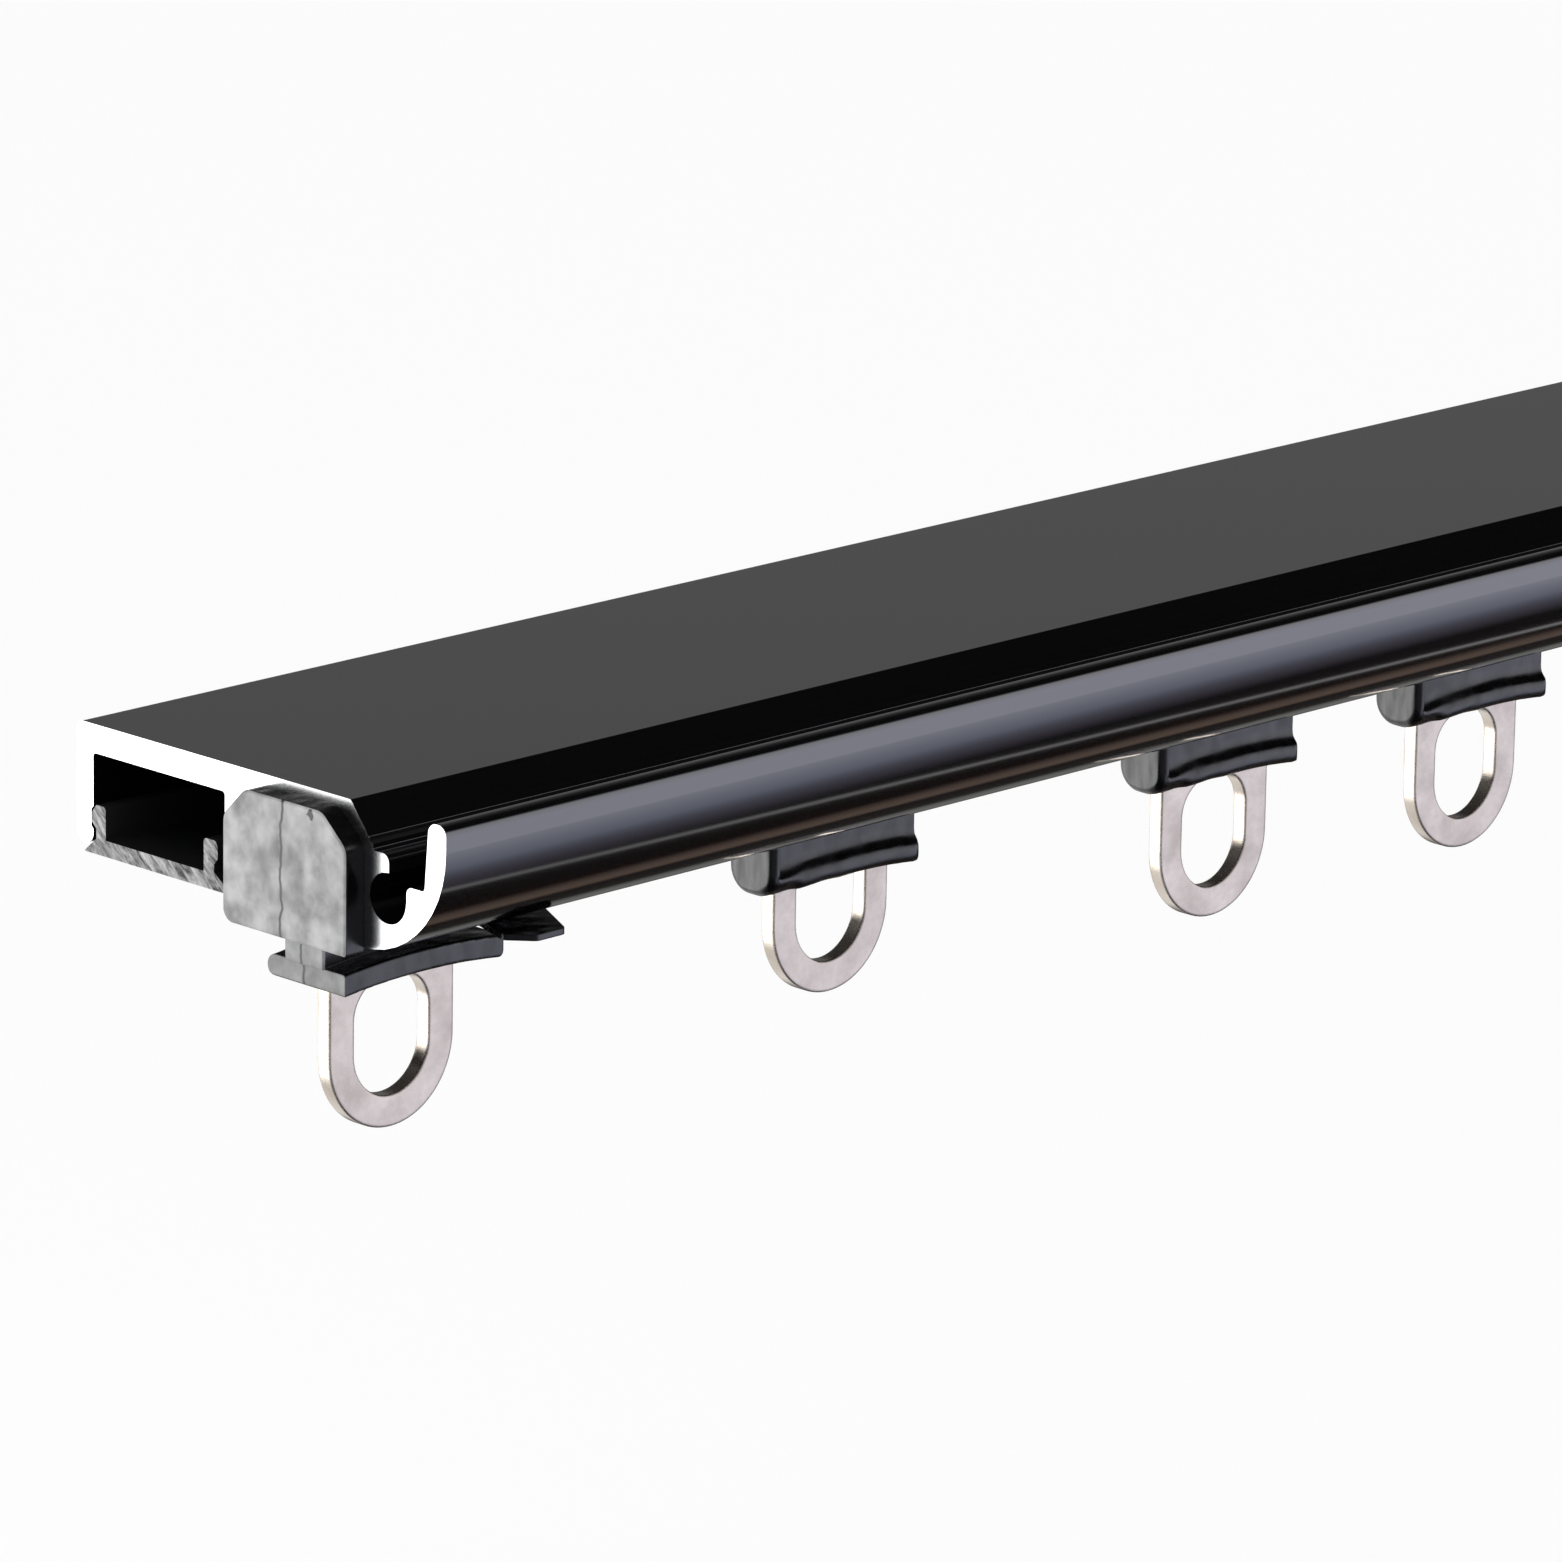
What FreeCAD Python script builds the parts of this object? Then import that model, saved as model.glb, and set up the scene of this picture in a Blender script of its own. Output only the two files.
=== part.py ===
"""Curtain track: an extruded aluminium rail with gliders that carry flat steel eyes.

Millimetres. X runs along the rail, -Y is the rounded front lip, +Z is up. The origin is on
the ceiling face, over the middle of the glider slot, halfway along the rail.
"""
import FreeCAD, Part
import math
import os
from FreeCAD import Vector

# Shared by all the pieces
ROUND_END_FLAT = 0.01      # flat left between the two arcs of a rounded end
OVERLAP = 0.5              # how far shapes that are fused run into each other
CUTTER_MARGIN = 1.0        # how far a cutter runs past the faces it opens
FLAT = 0.001               # nearer than this counts as touching
SHARP_RADIUS = 0.1         # extruded and stamped corners that look sharp
SOFT_RADIUS = 0.4          # moulded corners

# Rail: overall
RAIL_LENGTH = 300.0
RAIL_HEIGHT = 13.5
TOP_THICKNESS = 2.75
TOP_FRONT = 6.4            # slot centre to the front edge of the ceiling face
TOP_BACK = 31.0            # slot centre to the back of the rail
TOP_BACK_RADIUS = 0.9
INNER_RADIUS = 0.4

# Rail: glider channel
CHANNEL_HALF = 7.8
SLOT_HALF = 2.8
LIP_THICKNESS = 2.0
MIDDLE_WALL = 2.7
CHANNEL_CHAMFER = 2.2

# Rail: front face, screw port and lip
CHAMFER_DEPTH = 2.43
CHAMFER_DROP = 2.97
STEP_DEPTH = 0.57          # two small edges under the chamfer
STEP_DROP = 0.58
STEP_BEND_DEPTH = 0.47
STEP_BEND_DROP = 0.22
NUB_REACH = 2.1
NUB_TOP_DROP = 0.59
NUB_RADIUS = 0.85
NUB_TIP_RADIUS = 0.55
PORT_RADIUS = 2.4
PORT_WALL = 1.2            # least wall between the channel and the port
PORT_DROP = 8.22
LIP_REACH = 18.95
LIP_WALL = 2.25
LIP_BEND_RADIUS = 11.0
LIP_TAPER = 0.5
LIP_TOP_RADIUS = 1.05
GUTTER_DEPTH = 6.6
BUMP_RADIUS = 0.7
BUMP_REACH = 0.04

# Rail: back wall
BACK_WALL = 2.3
BACK_WALL_DROP = 11.6
GROOVE_DEPTH = 0.3
GROOVE_TOP = 7.9
GROOVE_BOTTOM = 10.1

# Cover strip under the back box
STRIP_THICKNESS = 1.55
STRIP_DROP = 12.45
STRIP_UNDERCUT = 0.95      # how far the strip stops short of the back wall's outer face
STRIP_FRONT_GAP = 0.15
STRIP_SIDE_SLOPE = 1.35
POST_WIDTH = 1.6
POST_TOP = 7.7
POST_HEAD_DROP = 10.0
POST_WAIST = 0.5
FRONT_POST_INSET = 1.0
STRIP_CLEARANCE = 0.1
STRIP_RELIEF = 0.15        # slope's start under the back post, and the front post's foot
BEAD = 0.3                 # height of the snap beads on the posts

# Steel eye, the same plate in every glider and stop
EYE_WIDTH = 15.5
EYE_THICKNESS = 1.7
EYE_BAND = 3.1
EYE_FOOT_BAND = 3.05
EYE_EDGE_RADIUS = 0.18
EYE_HOLE_HEIGHT = 11.4
EYE_HOLE_TOP_RADIUS = 3.6
EYE_SHOULDER = 3.2
EYE_SHOULDER_RADIUS = 1.0
EYE_ROOT_RADIUS = 0.2
EYE_TONGUE = 6.4
EYE_TONGUE_TOP = 1.1       # metal over the pin slot
EYE_TONGUE_RADIUS = 0.8
EYE_LIFT = 3.0             # how far an eye floats on its pin
EYE_PIN_TO_BOTTOM = 27.2   # from a pin at the top of its slot to the eye's lowest point
PIN_RADIUS = 0.75
PIN_CLEARANCE = 0.05
PIN_END_INSET = 0.1        # pin ends lie this far inside the head's sides
EYE_CLEARANCE = 0.1

# Glider body
GLIDER_LENGTH = 20.4
HEAD_HALF = 3.2
HEAD_TOP_GAP = 0.85
HEAD_RADIUS = 0.8
SKID_SIDE_GAP = 1.2
SKID_HEIGHT = 1.8
SKID_RADIUS = 0.3
SKID_PLAN_RADIUS = 2.5
NECK_PLAN_RADIUS = 1.2
RUN_GAP = 0.2              # lifts the skids off the rail's lips
NECK_GAP = 0.3
GLIDER_FOOT_UNDER = 8.05   # below the rail's bottom
FOOT_HALF = 3.1
FOOT_WALL_HALF = 2.0
LEDGE_THICKNESS = 1.8
LEDGE_PLAN_RADIUS = 0.9
LEDGE_RISE_RADIUS = 1.5    # in plan, where the arch comes out of the toe
GLIDER_ARCH_RISE = 0.5
ARCH_LIFT = 0.1            # the arch's ends over the toe's bottom
GLIDER_TOE = 4.5           # length of the flat-bottomed block under the end rib
ARCH_START = 3.8           # from the rib's face to where the arch leaves the toe
LEDGE_END_RADIUS = 0.8     # lower corner of a ledge's far end
ARCH_SWEEP = 1.25          # the arch is swept this much wider than the ledge, then trimmed
COVE_SLOPE = 0.8           # rise from the bead's top to the wall, before the cove rounds it
COVE_RADIUS = 1.4
END_RIB = 1.0
RIB_FACE_RADIUS = 0.85
RIB_TOP_GAP = 0.15
FOOT_CORNER = 2.6
PIN_ABOVE_BOTTOM = 4.9     # over the rail's bottom
GLIDER_SHARES = (0.2257, 0.407, 0.534, 0.6633, 0.8)   # of the rail's length, from its left end
GLIDER_EYES_LIFTED = (True, False, False, False, False)

# End stop
FLANGE_THICKNESS = 2.35
FLANGE_HALF = 8.25
FLANGE_TOP = 1.0
FLANGE_UNDER = 0.54        # below the rail's bottom
FLANGE_CHAMFER = 2.9
FLANGE_CORNER = 1.3
FLANGE_FOOT_RADIUS = 0.3
FLANGE_CHAMFER_RADIUS = 1.7
FLANGE_SLANT = 0.4         # the front chamfer is this much wider than the back one
FLANGE_SOFT_EDGE = 0.25
PLUG_GAP = 0.25
PLUG_RADIUS = 0.6
PLUG_RECESS_HALF = 5.5     # lightening pockets beside the eye
PLUG_RECESS_FLOOR = 2.2
STOP_FOOT_START = 0.5
STOP_FOOT_LENGTH = 19.8
STOP_FOOT_HALF = 5.2
STOP_FOOT_UNDER = 5.6      # below the rail's bottom
STOP_LEDGE_THICKNESS = 2.15
STOP_ARCH_RISE = 0.6
STOP_NECK_START = 0.2
STOP_FOOT_EDGE = 0.3
STOP_EYE_RAISE = 1.5       # the stop's eye hangs this much higher than a glider's

# Twist lock behind each end stop
LOCK_PLACE = 23.0          # from the rail's end
LOCK_TAIL_THICKNESS = 2.0
LOCK_TAIL_ABOVE = 8.0      # the tail's top over the rail's bottom
LOCK_TAIL_HALF = 5.0
LOCK_TAIL_MARGIN = 5.0
LOCK_TAIL_RADIUS = 3.0
LOCK_SHAFT_RADIUS = 2.0
LOCK_SHAFT_CLEARANCE = 0.08
LOCK_CAM_HALF_LENGTH = 6.3
LOCK_CAM_THICKNESS = 2.0
LOCK_SHAFT_PROUD = 0.35    # the shaft's end over the washer
LOCK_STOP_GAP = 0.7        # between the turned cam and the stop's plug and neck
LEVER_THICKNESS = 0.6
LEVER_LOW = 1.5            # the lever's underside below the rail's bottom
LEVER_REACH = 13.6
LEVER_TIP_NEAR = 2.9       # the tip's two corners, towards the rail's end from the shaft
LEVER_TIP_FAR = 6.4
LEVER_ELBOW = 8.6          # widest point, and its reach
LEVER_ELBOW_REACH = 11.2
LEVER_ROOT = 6.5
LEVER_CORNER = 0.8
LEVER_BACK = 2.6
LEVER_TAIL_HALF = 4.0
LEVER_TAIL_REACH = 3.2
WASHER_RADIUS = 3.4
WASHER_THICKNESS = 0.5
WASHER_GAP = 0.1           # between the washer and the tail

# Worked out from the sizes above
LEFT_END = -RAIL_LENGTH / 2
RAIL_BOTTOM = -RAIL_HEIGHT
LIP_TOP = RAIL_BOTTOM + LIP_THICKNESS
CEILING = -TOP_THICKNESS
STEP_FACE = TOP_FRONT + CHAMFER_DEPTH + STEP_DEPTH
STEP_BOTTOM = -(CHAMFER_DROP + STEP_DROP)
NUB_FACE = STEP_FACE + NUB_REACH
PORT_Y = -(CHANNEL_HALF + PORT_WALL + PORT_RADIUS)
BOX_FRONT = CHANNEL_HALF + MIDDLE_WALL
BOX_BACK = TOP_BACK - BACK_WALL
NECK_HALF = SLOT_HALF - NECK_GAP
SKID_BOTTOM = LIP_TOP + RUN_GAP
HEAD_TOP = CEILING - HEAD_TOP_GAP
POCKET_HALF = EYE_THICKNESS / 2 + EYE_CLEARANCE
PIN_DROP = RAIL_HEIGHT - PIN_ABOVE_BOTTOM
GLIDER_FOOT_DROP = RAIL_HEIGHT + GLIDER_FOOT_UNDER
STOP_FOOT_DROP = RAIL_HEIGHT + STOP_FOOT_UNDER
LOCK_TAIL_TOP = RAIL_HEIGHT - LOCK_TAIL_ABOVE
PLUG_LENGTH = LOCK_PLACE - LOCK_CAM_HALF_LENGTH - LOCK_STOP_GAP
STOP_MIDDLE = LEFT_END + STOP_FOOT_START + STOP_FOOT_LENGTH / 2
STOP_PIN_Z = -PIN_DROP + STOP_EYE_RAISE
LOCK_X = LEFT_END + LOCK_PLACE
LEVER_TOP = RAIL_BOTTOM - LEVER_LOW + LEVER_THICKNESS


def across(x):
    """Place a (y, z) outline in the plane at x, square to the rail."""
    return lambda y, z: Vector(x, y, z)


def lengthwise(y):
    """Place an (x, z) outline in the upright plane at y, along the rail."""
    return lambda x, z: Vector(x, y, z)


def level(z):
    """Place an (x, y) outline in the level plane at z."""
    return lambda x, y: Vector(x, y, z)


def rounded_face(corners, place):
    """Face inside straight runs joined by tangent arcs; a corner is (u, v) or (u, v, radius)."""
    starts, mids, ends = [], [], []
    count = len(corners)
    for i, corner in enumerate(corners):
        point = Vector(corner[0], corner[1], 0)
        radius = corner[2] if len(corner) > 2 else 0
        if radius <= 0:
            starts.append(point)
            mids.append(None)
            ends.append(point)
            continue
        before = Vector(*corners[i - 1][:2], 0) - point
        after = Vector(*corners[(i + 1) % count][:2], 0) - point
        before.normalize()
        after.normalize()
        half = before.getAngle(after) / 2
        bisector = before + after
        bisector.normalize()
        starts.append(point + before * (radius / math.tan(half)))
        mids.append(point + bisector * (radius / math.sin(half) - radius))
        ends.append(point + after * (radius / math.tan(half)))
    edges = []
    for i in range(count):
        if mids[i] is not None:
            arc = Part.Arc(*[place(p.x, p.y) for p in (starts[i], mids[i], ends[i])])
            edges.append(arc.toShape())
        following = starts[(i + 1) % count]
        if (following - ends[i]).Length > FLAT:
            run = Part.LineSegment(place(ends[i].x, ends[i].y), place(following.x, following.y))
            edges.append(run.toShape())
    return Part.Face(Part.Wire(edges))


def box(x0, x1, y0, y1, z0, z1):
    return Part.makeBox(x1 - x0, y1 - y0, z1 - z0, Vector(x0, y0, z0))


def round_end(width):
    """Corner radius that rounds an end of this width fully."""
    return width / 2 - ROUND_END_FLAT


def cylinder(radius, start, end):
    start, end = Vector(*start), Vector(*end)
    return Part.makeCylinder(radius, (end - start).Length, start, end - start)


def moved(shape, x=0.0, z=0.0):
    result = shape.copy()
    result.translate(Vector(x, 0, z))
    return result


def mirrored(shape):
    """The same piece at the other end of the rail."""
    return shape.mirror(Vector(0, 0, 0), Vector(1, 0, 0))


def rail():
    """One extrusion: box channel at the back, glider channel, screw port and rounded lip."""
    lip_inner = LIP_REACH - LIP_WALL
    bump = PORT_Y - PORT_RADIUS - BUMP_REACH
    chamfer_foot = CEILING - CHANNEL_CHAMFER * CHAMFER_DROP / CHAMFER_DEPTH
    section = [
        (-TOP_FRONT, 0, SHARP_RADIUS),
        (TOP_BACK, 0, TOP_BACK_RADIUS),
        (TOP_BACK, -BACK_WALL_DROP, round_end(BACK_WALL)),
        (BOX_BACK, -BACK_WALL_DROP, round_end(BACK_WALL)),
        (BOX_BACK, -GROOVE_BOTTOM),
        (BOX_BACK + GROOVE_DEPTH, -GROOVE_BOTTOM + GROOVE_DEPTH),
        (BOX_BACK + GROOVE_DEPTH, -GROOVE_TOP - GROOVE_DEPTH),
        (BOX_BACK, -GROOVE_TOP),
        (BOX_BACK, CEILING, INNER_RADIUS),
        (BOX_FRONT, CEILING, INNER_RADIUS),
        (BOX_FRONT, RAIL_BOTTOM, INNER_RADIUS),
        (SLOT_HALF, RAIL_BOTTOM, INNER_RADIUS),
        (SLOT_HALF, LIP_TOP, INNER_RADIUS),
        (CHANNEL_HALF, LIP_TOP, INNER_RADIUS),
        (CHANNEL_HALF, CEILING, INNER_RADIUS),
        (-CHANNEL_HALF + CHANNEL_CHAMFER, CEILING, INNER_RADIUS),
        (-CHANNEL_HALF, chamfer_foot, INNER_RADIUS),
        (-CHANNEL_HALF, LIP_TOP, INNER_RADIUS),
        (-SLOT_HALF, LIP_TOP, INNER_RADIUS),
        (-SLOT_HALF, RAIL_BOTTOM, INNER_RADIUS),
        (-LIP_REACH, RAIL_BOTTOM, LIP_BEND_RADIUS),
        (-LIP_REACH, 0, LIP_TOP_RADIUS),
        (-lip_inner, 0, LIP_TOP_RADIUS),
        (-lip_inner + LIP_TAPER, -GUTTER_DEPTH, INNER_RADIUS),
        (bump, -GUTTER_DEPTH, BUMP_RADIUS),
        (bump, -PORT_DROP),
        (PORT_Y, -PORT_DROP),
        (-NUB_FACE, -PORT_DROP + PORT_RADIUS, NUB_TIP_RADIUS),
        (-NUB_FACE, STEP_BOTTOM - NUB_TOP_DROP, NUB_RADIUS),
        (-STEP_FACE, STEP_BOTTOM - NUB_TOP_DROP, NUB_TOP_DROP / 2),
        (-STEP_FACE, STEP_BOTTOM),
        (-STEP_FACE + STEP_BEND_DEPTH, STEP_BOTTOM + STEP_BEND_DROP),
        (-STEP_FACE + STEP_DEPTH, -CHAMFER_DROP, SHARP_RADIUS),
    ]
    body = rounded_face(section, across(LEFT_END)).extrude(Vector(RAIL_LENGTH, 0, 0))
    past = -LEFT_END + CUTTER_MARGIN
    port = cylinder(PORT_RADIUS, (-past, PORT_Y, -PORT_DROP), (past, PORT_Y, -PORT_DROP))
    return body.cut(port)


def cover_strip():
    """Snap-in strip that closes the back box; its posts hook into the back wall's groove."""
    top = -STRIP_DROP + STRIP_THICKNESS
    back = TOP_BACK - STRIP_UNDERCUT
    front = BOX_FRONT + STRIP_FRONT_GAP
    back_post = BOX_BACK - STRIP_CLEARANCE
    front_post = BOX_FRONT + FRONT_POST_INSET
    back_bead = back_post + BEAD
    back_waist = back_post - BEAD
    front_waist = front_post + POST_WAIST
    front_inner = front_post + POST_WIDTH + BEAD
    slope_top = -STRIP_DROP + STRIP_SIDE_SLOPE + STRIP_RELIEF
    section = [
        (front, -STRIP_DROP, SHARP_RADIUS),
        (back, -STRIP_DROP, SHARP_RADIUS),
        (back_waist, slope_top),
        (back_waist, -POST_HEAD_DROP),
        (back_post, -POST_HEAD_DROP + BEAD),
        (back_bead, -POST_HEAD_DROP + 2 * BEAD, SHARP_RADIUS),
        (back_bead, -GROOVE_TOP - 2 * BEAD, SHARP_RADIUS),
        (back_waist, -POST_TOP, SHARP_RADIUS),
        (back_post - POST_WIDTH, -POST_TOP, SOFT_RADIUS),
        (back_post - POST_WIDTH, top, SHARP_RADIUS),
        (front_inner, top, SHARP_RADIUS),
        (front_inner, -POST_TOP, SOFT_RADIUS),
        (front_post + BEAD, -POST_TOP, SOFT_RADIUS),
        (front_post, -POST_TOP - 2 * BEAD, SHARP_RADIUS),
        (front_post, -POST_HEAD_DROP + 2 * BEAD, SHARP_RADIUS),
        (front_waist, -POST_HEAD_DROP, SHARP_RADIUS),
        (front_waist, top + STRIP_RELIEF, SHARP_RADIUS),
        (front, -STRIP_DROP + STRIP_THICKNESS / 2, SHARP_RADIUS),
    ]
    return rounded_face(section, across(LEFT_END)).extrude(Vector(RAIL_LENGTH, 0, 0))


def rounded_block(half_x, half_y, radius, bottom, height):
    """Upright block on the slot's middle, its four upright edges rounded."""
    plan = [
        (-half_x, -half_y, radius),
        (half_x, -half_y, radius),
        (half_x, half_y, radius),
        (-half_x, half_y, radius),
    ]
    return rounded_face(plan, level(bottom)).extrude(Vector(0, 0, height))


def edges_at(shape, x):
    """Edges that lie wholly in the plane at x."""
    return [
        edge for edge in shape.Edges
        if abs(edge.BoundBox.XMin - x) + abs(edge.BoundBox.XMax - x) < FLAT
    ]


def through_plate(opening):
    """Cutter of this (x, z) outline through the eye's thickness."""
    return rounded_face(opening, lengthwise(-EYE_THICKNESS)).extrude(Vector(0, 2 * EYE_THICKNESS, 0))


def eye_plate(pin_z):
    """Stamped steel eye hanging from a pin at height pin_z, with the pin at its slot's top."""
    bottom = pin_z - EYE_PIN_TO_BOTTOM
    half = EYE_WIDTH / 2
    hole_bottom = bottom + EYE_FOOT_BAND
    hole_top = hole_bottom + EYE_HOLE_HEIGHT
    shoulder = hole_top + EYE_SHOULDER
    slot_top = pin_z + PIN_RADIUS + PIN_CLEARANCE
    tongue = EYE_TONGUE / 2
    outline = [
        (-half, bottom, round_end(EYE_WIDTH)),
        (half, bottom, round_end(EYE_WIDTH)),
        (half, shoulder, EYE_SHOULDER_RADIUS),
        (tongue, shoulder, EYE_ROOT_RADIUS),
        (tongue, slot_top + EYE_TONGUE_TOP, EYE_TONGUE_RADIUS),
        (-tongue, slot_top + EYE_TONGUE_TOP, EYE_TONGUE_RADIUS),
        (-tongue, shoulder, EYE_ROOT_RADIUS),
        (-half, shoulder, EYE_SHOULDER_RADIUS),
    ]
    hole_half = half - EYE_BAND
    hole = [
        (-hole_half, hole_bottom, round_end(2 * hole_half)),
        (hole_half, hole_bottom, round_end(2 * hole_half)),
        (hole_half, hole_top, EYE_HOLE_TOP_RADIUS),
        (-hole_half, hole_top, EYE_HOLE_TOP_RADIUS),
    ]
    slot_half = PIN_RADIUS + PIN_CLEARANCE
    slot_bottom = slot_top - 2 * slot_half - EYE_LIFT
    slot = [
        (-slot_half, slot_bottom, round_end(2 * slot_half)),
        (slot_half, slot_bottom, round_end(2 * slot_half)),
        (slot_half, slot_top, round_end(2 * slot_half)),
        (-slot_half, slot_top, round_end(2 * slot_half)),
    ]
    plate = rounded_face(outline, lengthwise(-EYE_THICKNESS / 2)).extrude(Vector(0, EYE_THICKNESS, 0))
    plate = plate.cut(through_plate(hole))
    rims = [edge for edge in plate.Edges if abs(abs(edge.CenterOfMass.y) - EYE_THICKNESS / 2) < FLAT]
    return plate.makeFillet(EYE_EDGE_RADIUS, rims).cut(through_plate(slot))


def eye_pocket(pin_z, lift, bottom):
    """Space an eye needs inside its holder when it can rise by lift."""
    hole_top = pin_z - EYE_PIN_TO_BOTTOM + EYE_FOOT_BAND + EYE_HOLE_HEIGHT
    shoulder = hole_top + EYE_SHOULDER + lift + EYE_CLEARANCE
    top = pin_z + PIN_RADIUS + PIN_CLEARANCE + EYE_TONGUE_TOP + lift + EYE_CLEARANCE
    wide = EYE_WIDTH / 2 + EYE_CLEARANCE
    narrow = EYE_TONGUE / 2 + EYE_CLEARANCE
    lower = box(-wide, wide, -POCKET_HALF, POCKET_HALF, bottom - CUTTER_MARGIN, shoulder)
    upper = box(-narrow, narrow, -POCKET_HALF, POCKET_HALF, shoulder - OVERLAP, top)
    return lower.fuse(upper)


def arched_ledge(section, length, drop, rise):
    """Turn a (y, z) section, z counted from the ledge's crown, into an arch along the rail."""
    half = length / 2
    radius = (half * half + rise * rise) / (2 * rise)
    crown = -drop + rise
    sweep = math.degrees(math.asin(half / radius)) * ARCH_SWEEP
    face = rounded_face([(y, crown + z, r) for y, z, r in section], across(0))
    centre = Vector(0, 0, crown - radius)
    face.rotate(centre, Vector(0, 1, 0), -sweep)
    arch = face.revolve(centre, Vector(0, 1, 0), 2 * sweep)
    side = max(abs(y) for y, z, r in section) + CUTTER_MARGIN
    ends = [
        (-half, -drop, SOFT_RADIUS),
        (half, -drop, LEDGE_END_RADIUS),
        (half, RAIL_BOTTOM),
        (-half, RAIL_BOTTOM),
    ]
    return arch.common(rounded_face(ends, lengthwise(-side)).extrude(Vector(0, 2 * side, 0)))


def pin(pin_z):
    """Steel pin that an eye hangs from."""
    half = HEAD_HALF - PIN_END_INSET
    return cylinder(PIN_RADIUS, (0, -half, pin_z), (0, half, pin_z))


def pin_hole(pin_z):
    past = HEAD_HALF + CUTTER_MARGIN
    return cylinder(PIN_RADIUS, (0, -past, pin_z), (0, past, pin_z))


def glider_body():
    """Moulded glider: skids on the rail's lips, neck through the slot, arched foot below."""
    half = GLIDER_LENGTH / 2
    skid = CHANNEL_HALF - SKID_SIDE_GAP
    skid_top = SKID_BOTTOM + SKID_HEIGHT
    head_section = [
        (-skid, SKID_BOTTOM, SKID_RADIUS),
        (skid, SKID_BOTTOM, SKID_RADIUS),
        (skid, skid_top, SOFT_RADIUS),
        (HEAD_HALF, skid_top, SOFT_RADIUS),
        (HEAD_HALF, HEAD_TOP, HEAD_RADIUS),
        (-HEAD_HALF, HEAD_TOP, HEAD_RADIUS),
        (-HEAD_HALF, skid_top, SOFT_RADIUS),
        (-skid, skid_top, SOFT_RADIUS),
    ]
    head = rounded_face(head_section, across(-half)).extrude(Vector(GLIDER_LENGTH, 0, 0))
    trim = rounded_block(half, skid, SKID_PLAN_RADIUS, LIP_TOP, RAIL_HEIGHT)
    head = head.common(trim)

    neck_bottom = RAIL_BOTTOM - RUN_GAP
    neck_height = SKID_BOTTOM + OVERLAP - neck_bottom
    neck = rounded_block(half, NECK_HALF, NECK_PLAN_RADIUS, neck_bottom, neck_height)

    rib_bottom = -GLIDER_FOOT_DROP
    wall_bottom = rib_bottom + LEDGE_THICKNESS
    wall = box(-half, half, -FOOT_WALL_HALF, FOOT_WALL_HALF, wall_bottom, neck_bottom)
    bead = round_end(LEDGE_THICKNESS)
    cove_foot = LEDGE_THICKNESS + COVE_SLOPE
    cove_top = cove_foot + COVE_RADIUS
    ledge_section = [
        (-FOOT_WALL_HALF, 0, 0),
        (-FOOT_HALF, 0, bead),
        (-FOOT_HALF, LEDGE_THICKNESS, bead),
        (-FOOT_WALL_HALF, cove_foot, COVE_RADIUS),
        (-FOOT_WALL_HALF, cove_top, 0),
        (FOOT_WALL_HALF, cove_top, 0),
        (FOOT_WALL_HALF, cove_foot, COVE_RADIUS),
        (FOOT_HALF, LEDGE_THICKNESS, bead),
        (FOOT_HALF, 0, bead),
        (FOOT_WALL_HALF, 0, 0),
    ]
    arch_drop = GLIDER_FOOT_DROP - ARCH_LIFT
    arch = arched_ledge(ledge_section, GLIDER_LENGTH - ARCH_START, arch_drop, GLIDER_ARCH_RISE)
    arch = moved(arch, x=ARCH_START / 2)
    arch_start = -half + ARCH_START
    arch_plan = [
        (arch_start, -FOOT_HALF, LEDGE_RISE_RADIUS),
        (half, -FOOT_HALF, LEDGE_PLAN_RADIUS),
        (half, FOOT_HALF, LEDGE_PLAN_RADIUS),
        (arch_start, FOOT_HALF, LEDGE_RISE_RADIUS),
    ]
    arch = arch.common(rounded_face(arch_plan, level(rib_bottom)).extrude(Vector(0, 0, GLIDER_FOOT_DROP)))

    # the end rib, and under it the toe: the rib's lower end carried on, sloping up to the wall
    rib_top = neck_bottom - RIB_TOP_GAP
    rib_section = [
        (-FOOT_HALF, rib_bottom, FOOT_CORNER),
        (FOOT_HALF, rib_bottom, FOOT_CORNER),
        (FOOT_HALF, rib_top, SOFT_RADIUS),
        (-FOOT_HALF, rib_top, SOFT_RADIUS),
    ]
    rib = rounded_face(rib_section, across(-half)).extrude(Vector(END_RIB + GLIDER_TOE, 0, 0))
    rib = rib.makeFillet(RIB_FACE_RADIUS, edges_at(rib, -half))
    slope_side = 2 * FOOT_HALF - FOOT_WALL_HALF
    slope_foot = rib_bottom + LEDGE_THICKNESS - COVE_SLOPE
    slope_top = rib_bottom + cove_foot
    toe_section = [
        (-slope_side, rib_bottom - CUTTER_MARGIN),
        (slope_side, rib_bottom - CUTTER_MARGIN),
        (slope_side, slope_foot),
        (FOOT_WALL_HALF, slope_top, COVE_RADIUS),
        (FOOT_WALL_HALF, rib_bottom + cove_top),
        (-FOOT_WALL_HALF, rib_bottom + cove_top),
        (-FOOT_WALL_HALF, slope_top, COVE_RADIUS),
        (-slope_side, slope_foot),
    ]
    toe = rounded_face(toe_section, across(-half + END_RIB - OVERLAP))
    toe = toe.extrude(Vector(GLIDER_TOE + OVERLAP + CUTTER_MARGIN, 0, 0))
    slab = box(
        -half - CUTTER_MARGIN, -half + END_RIB,
        -slope_side, slope_side,
        rib_bottom - CUTTER_MARGIN, neck_bottom,
    )
    rib = rib.common(slab.fuse(toe))

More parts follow.
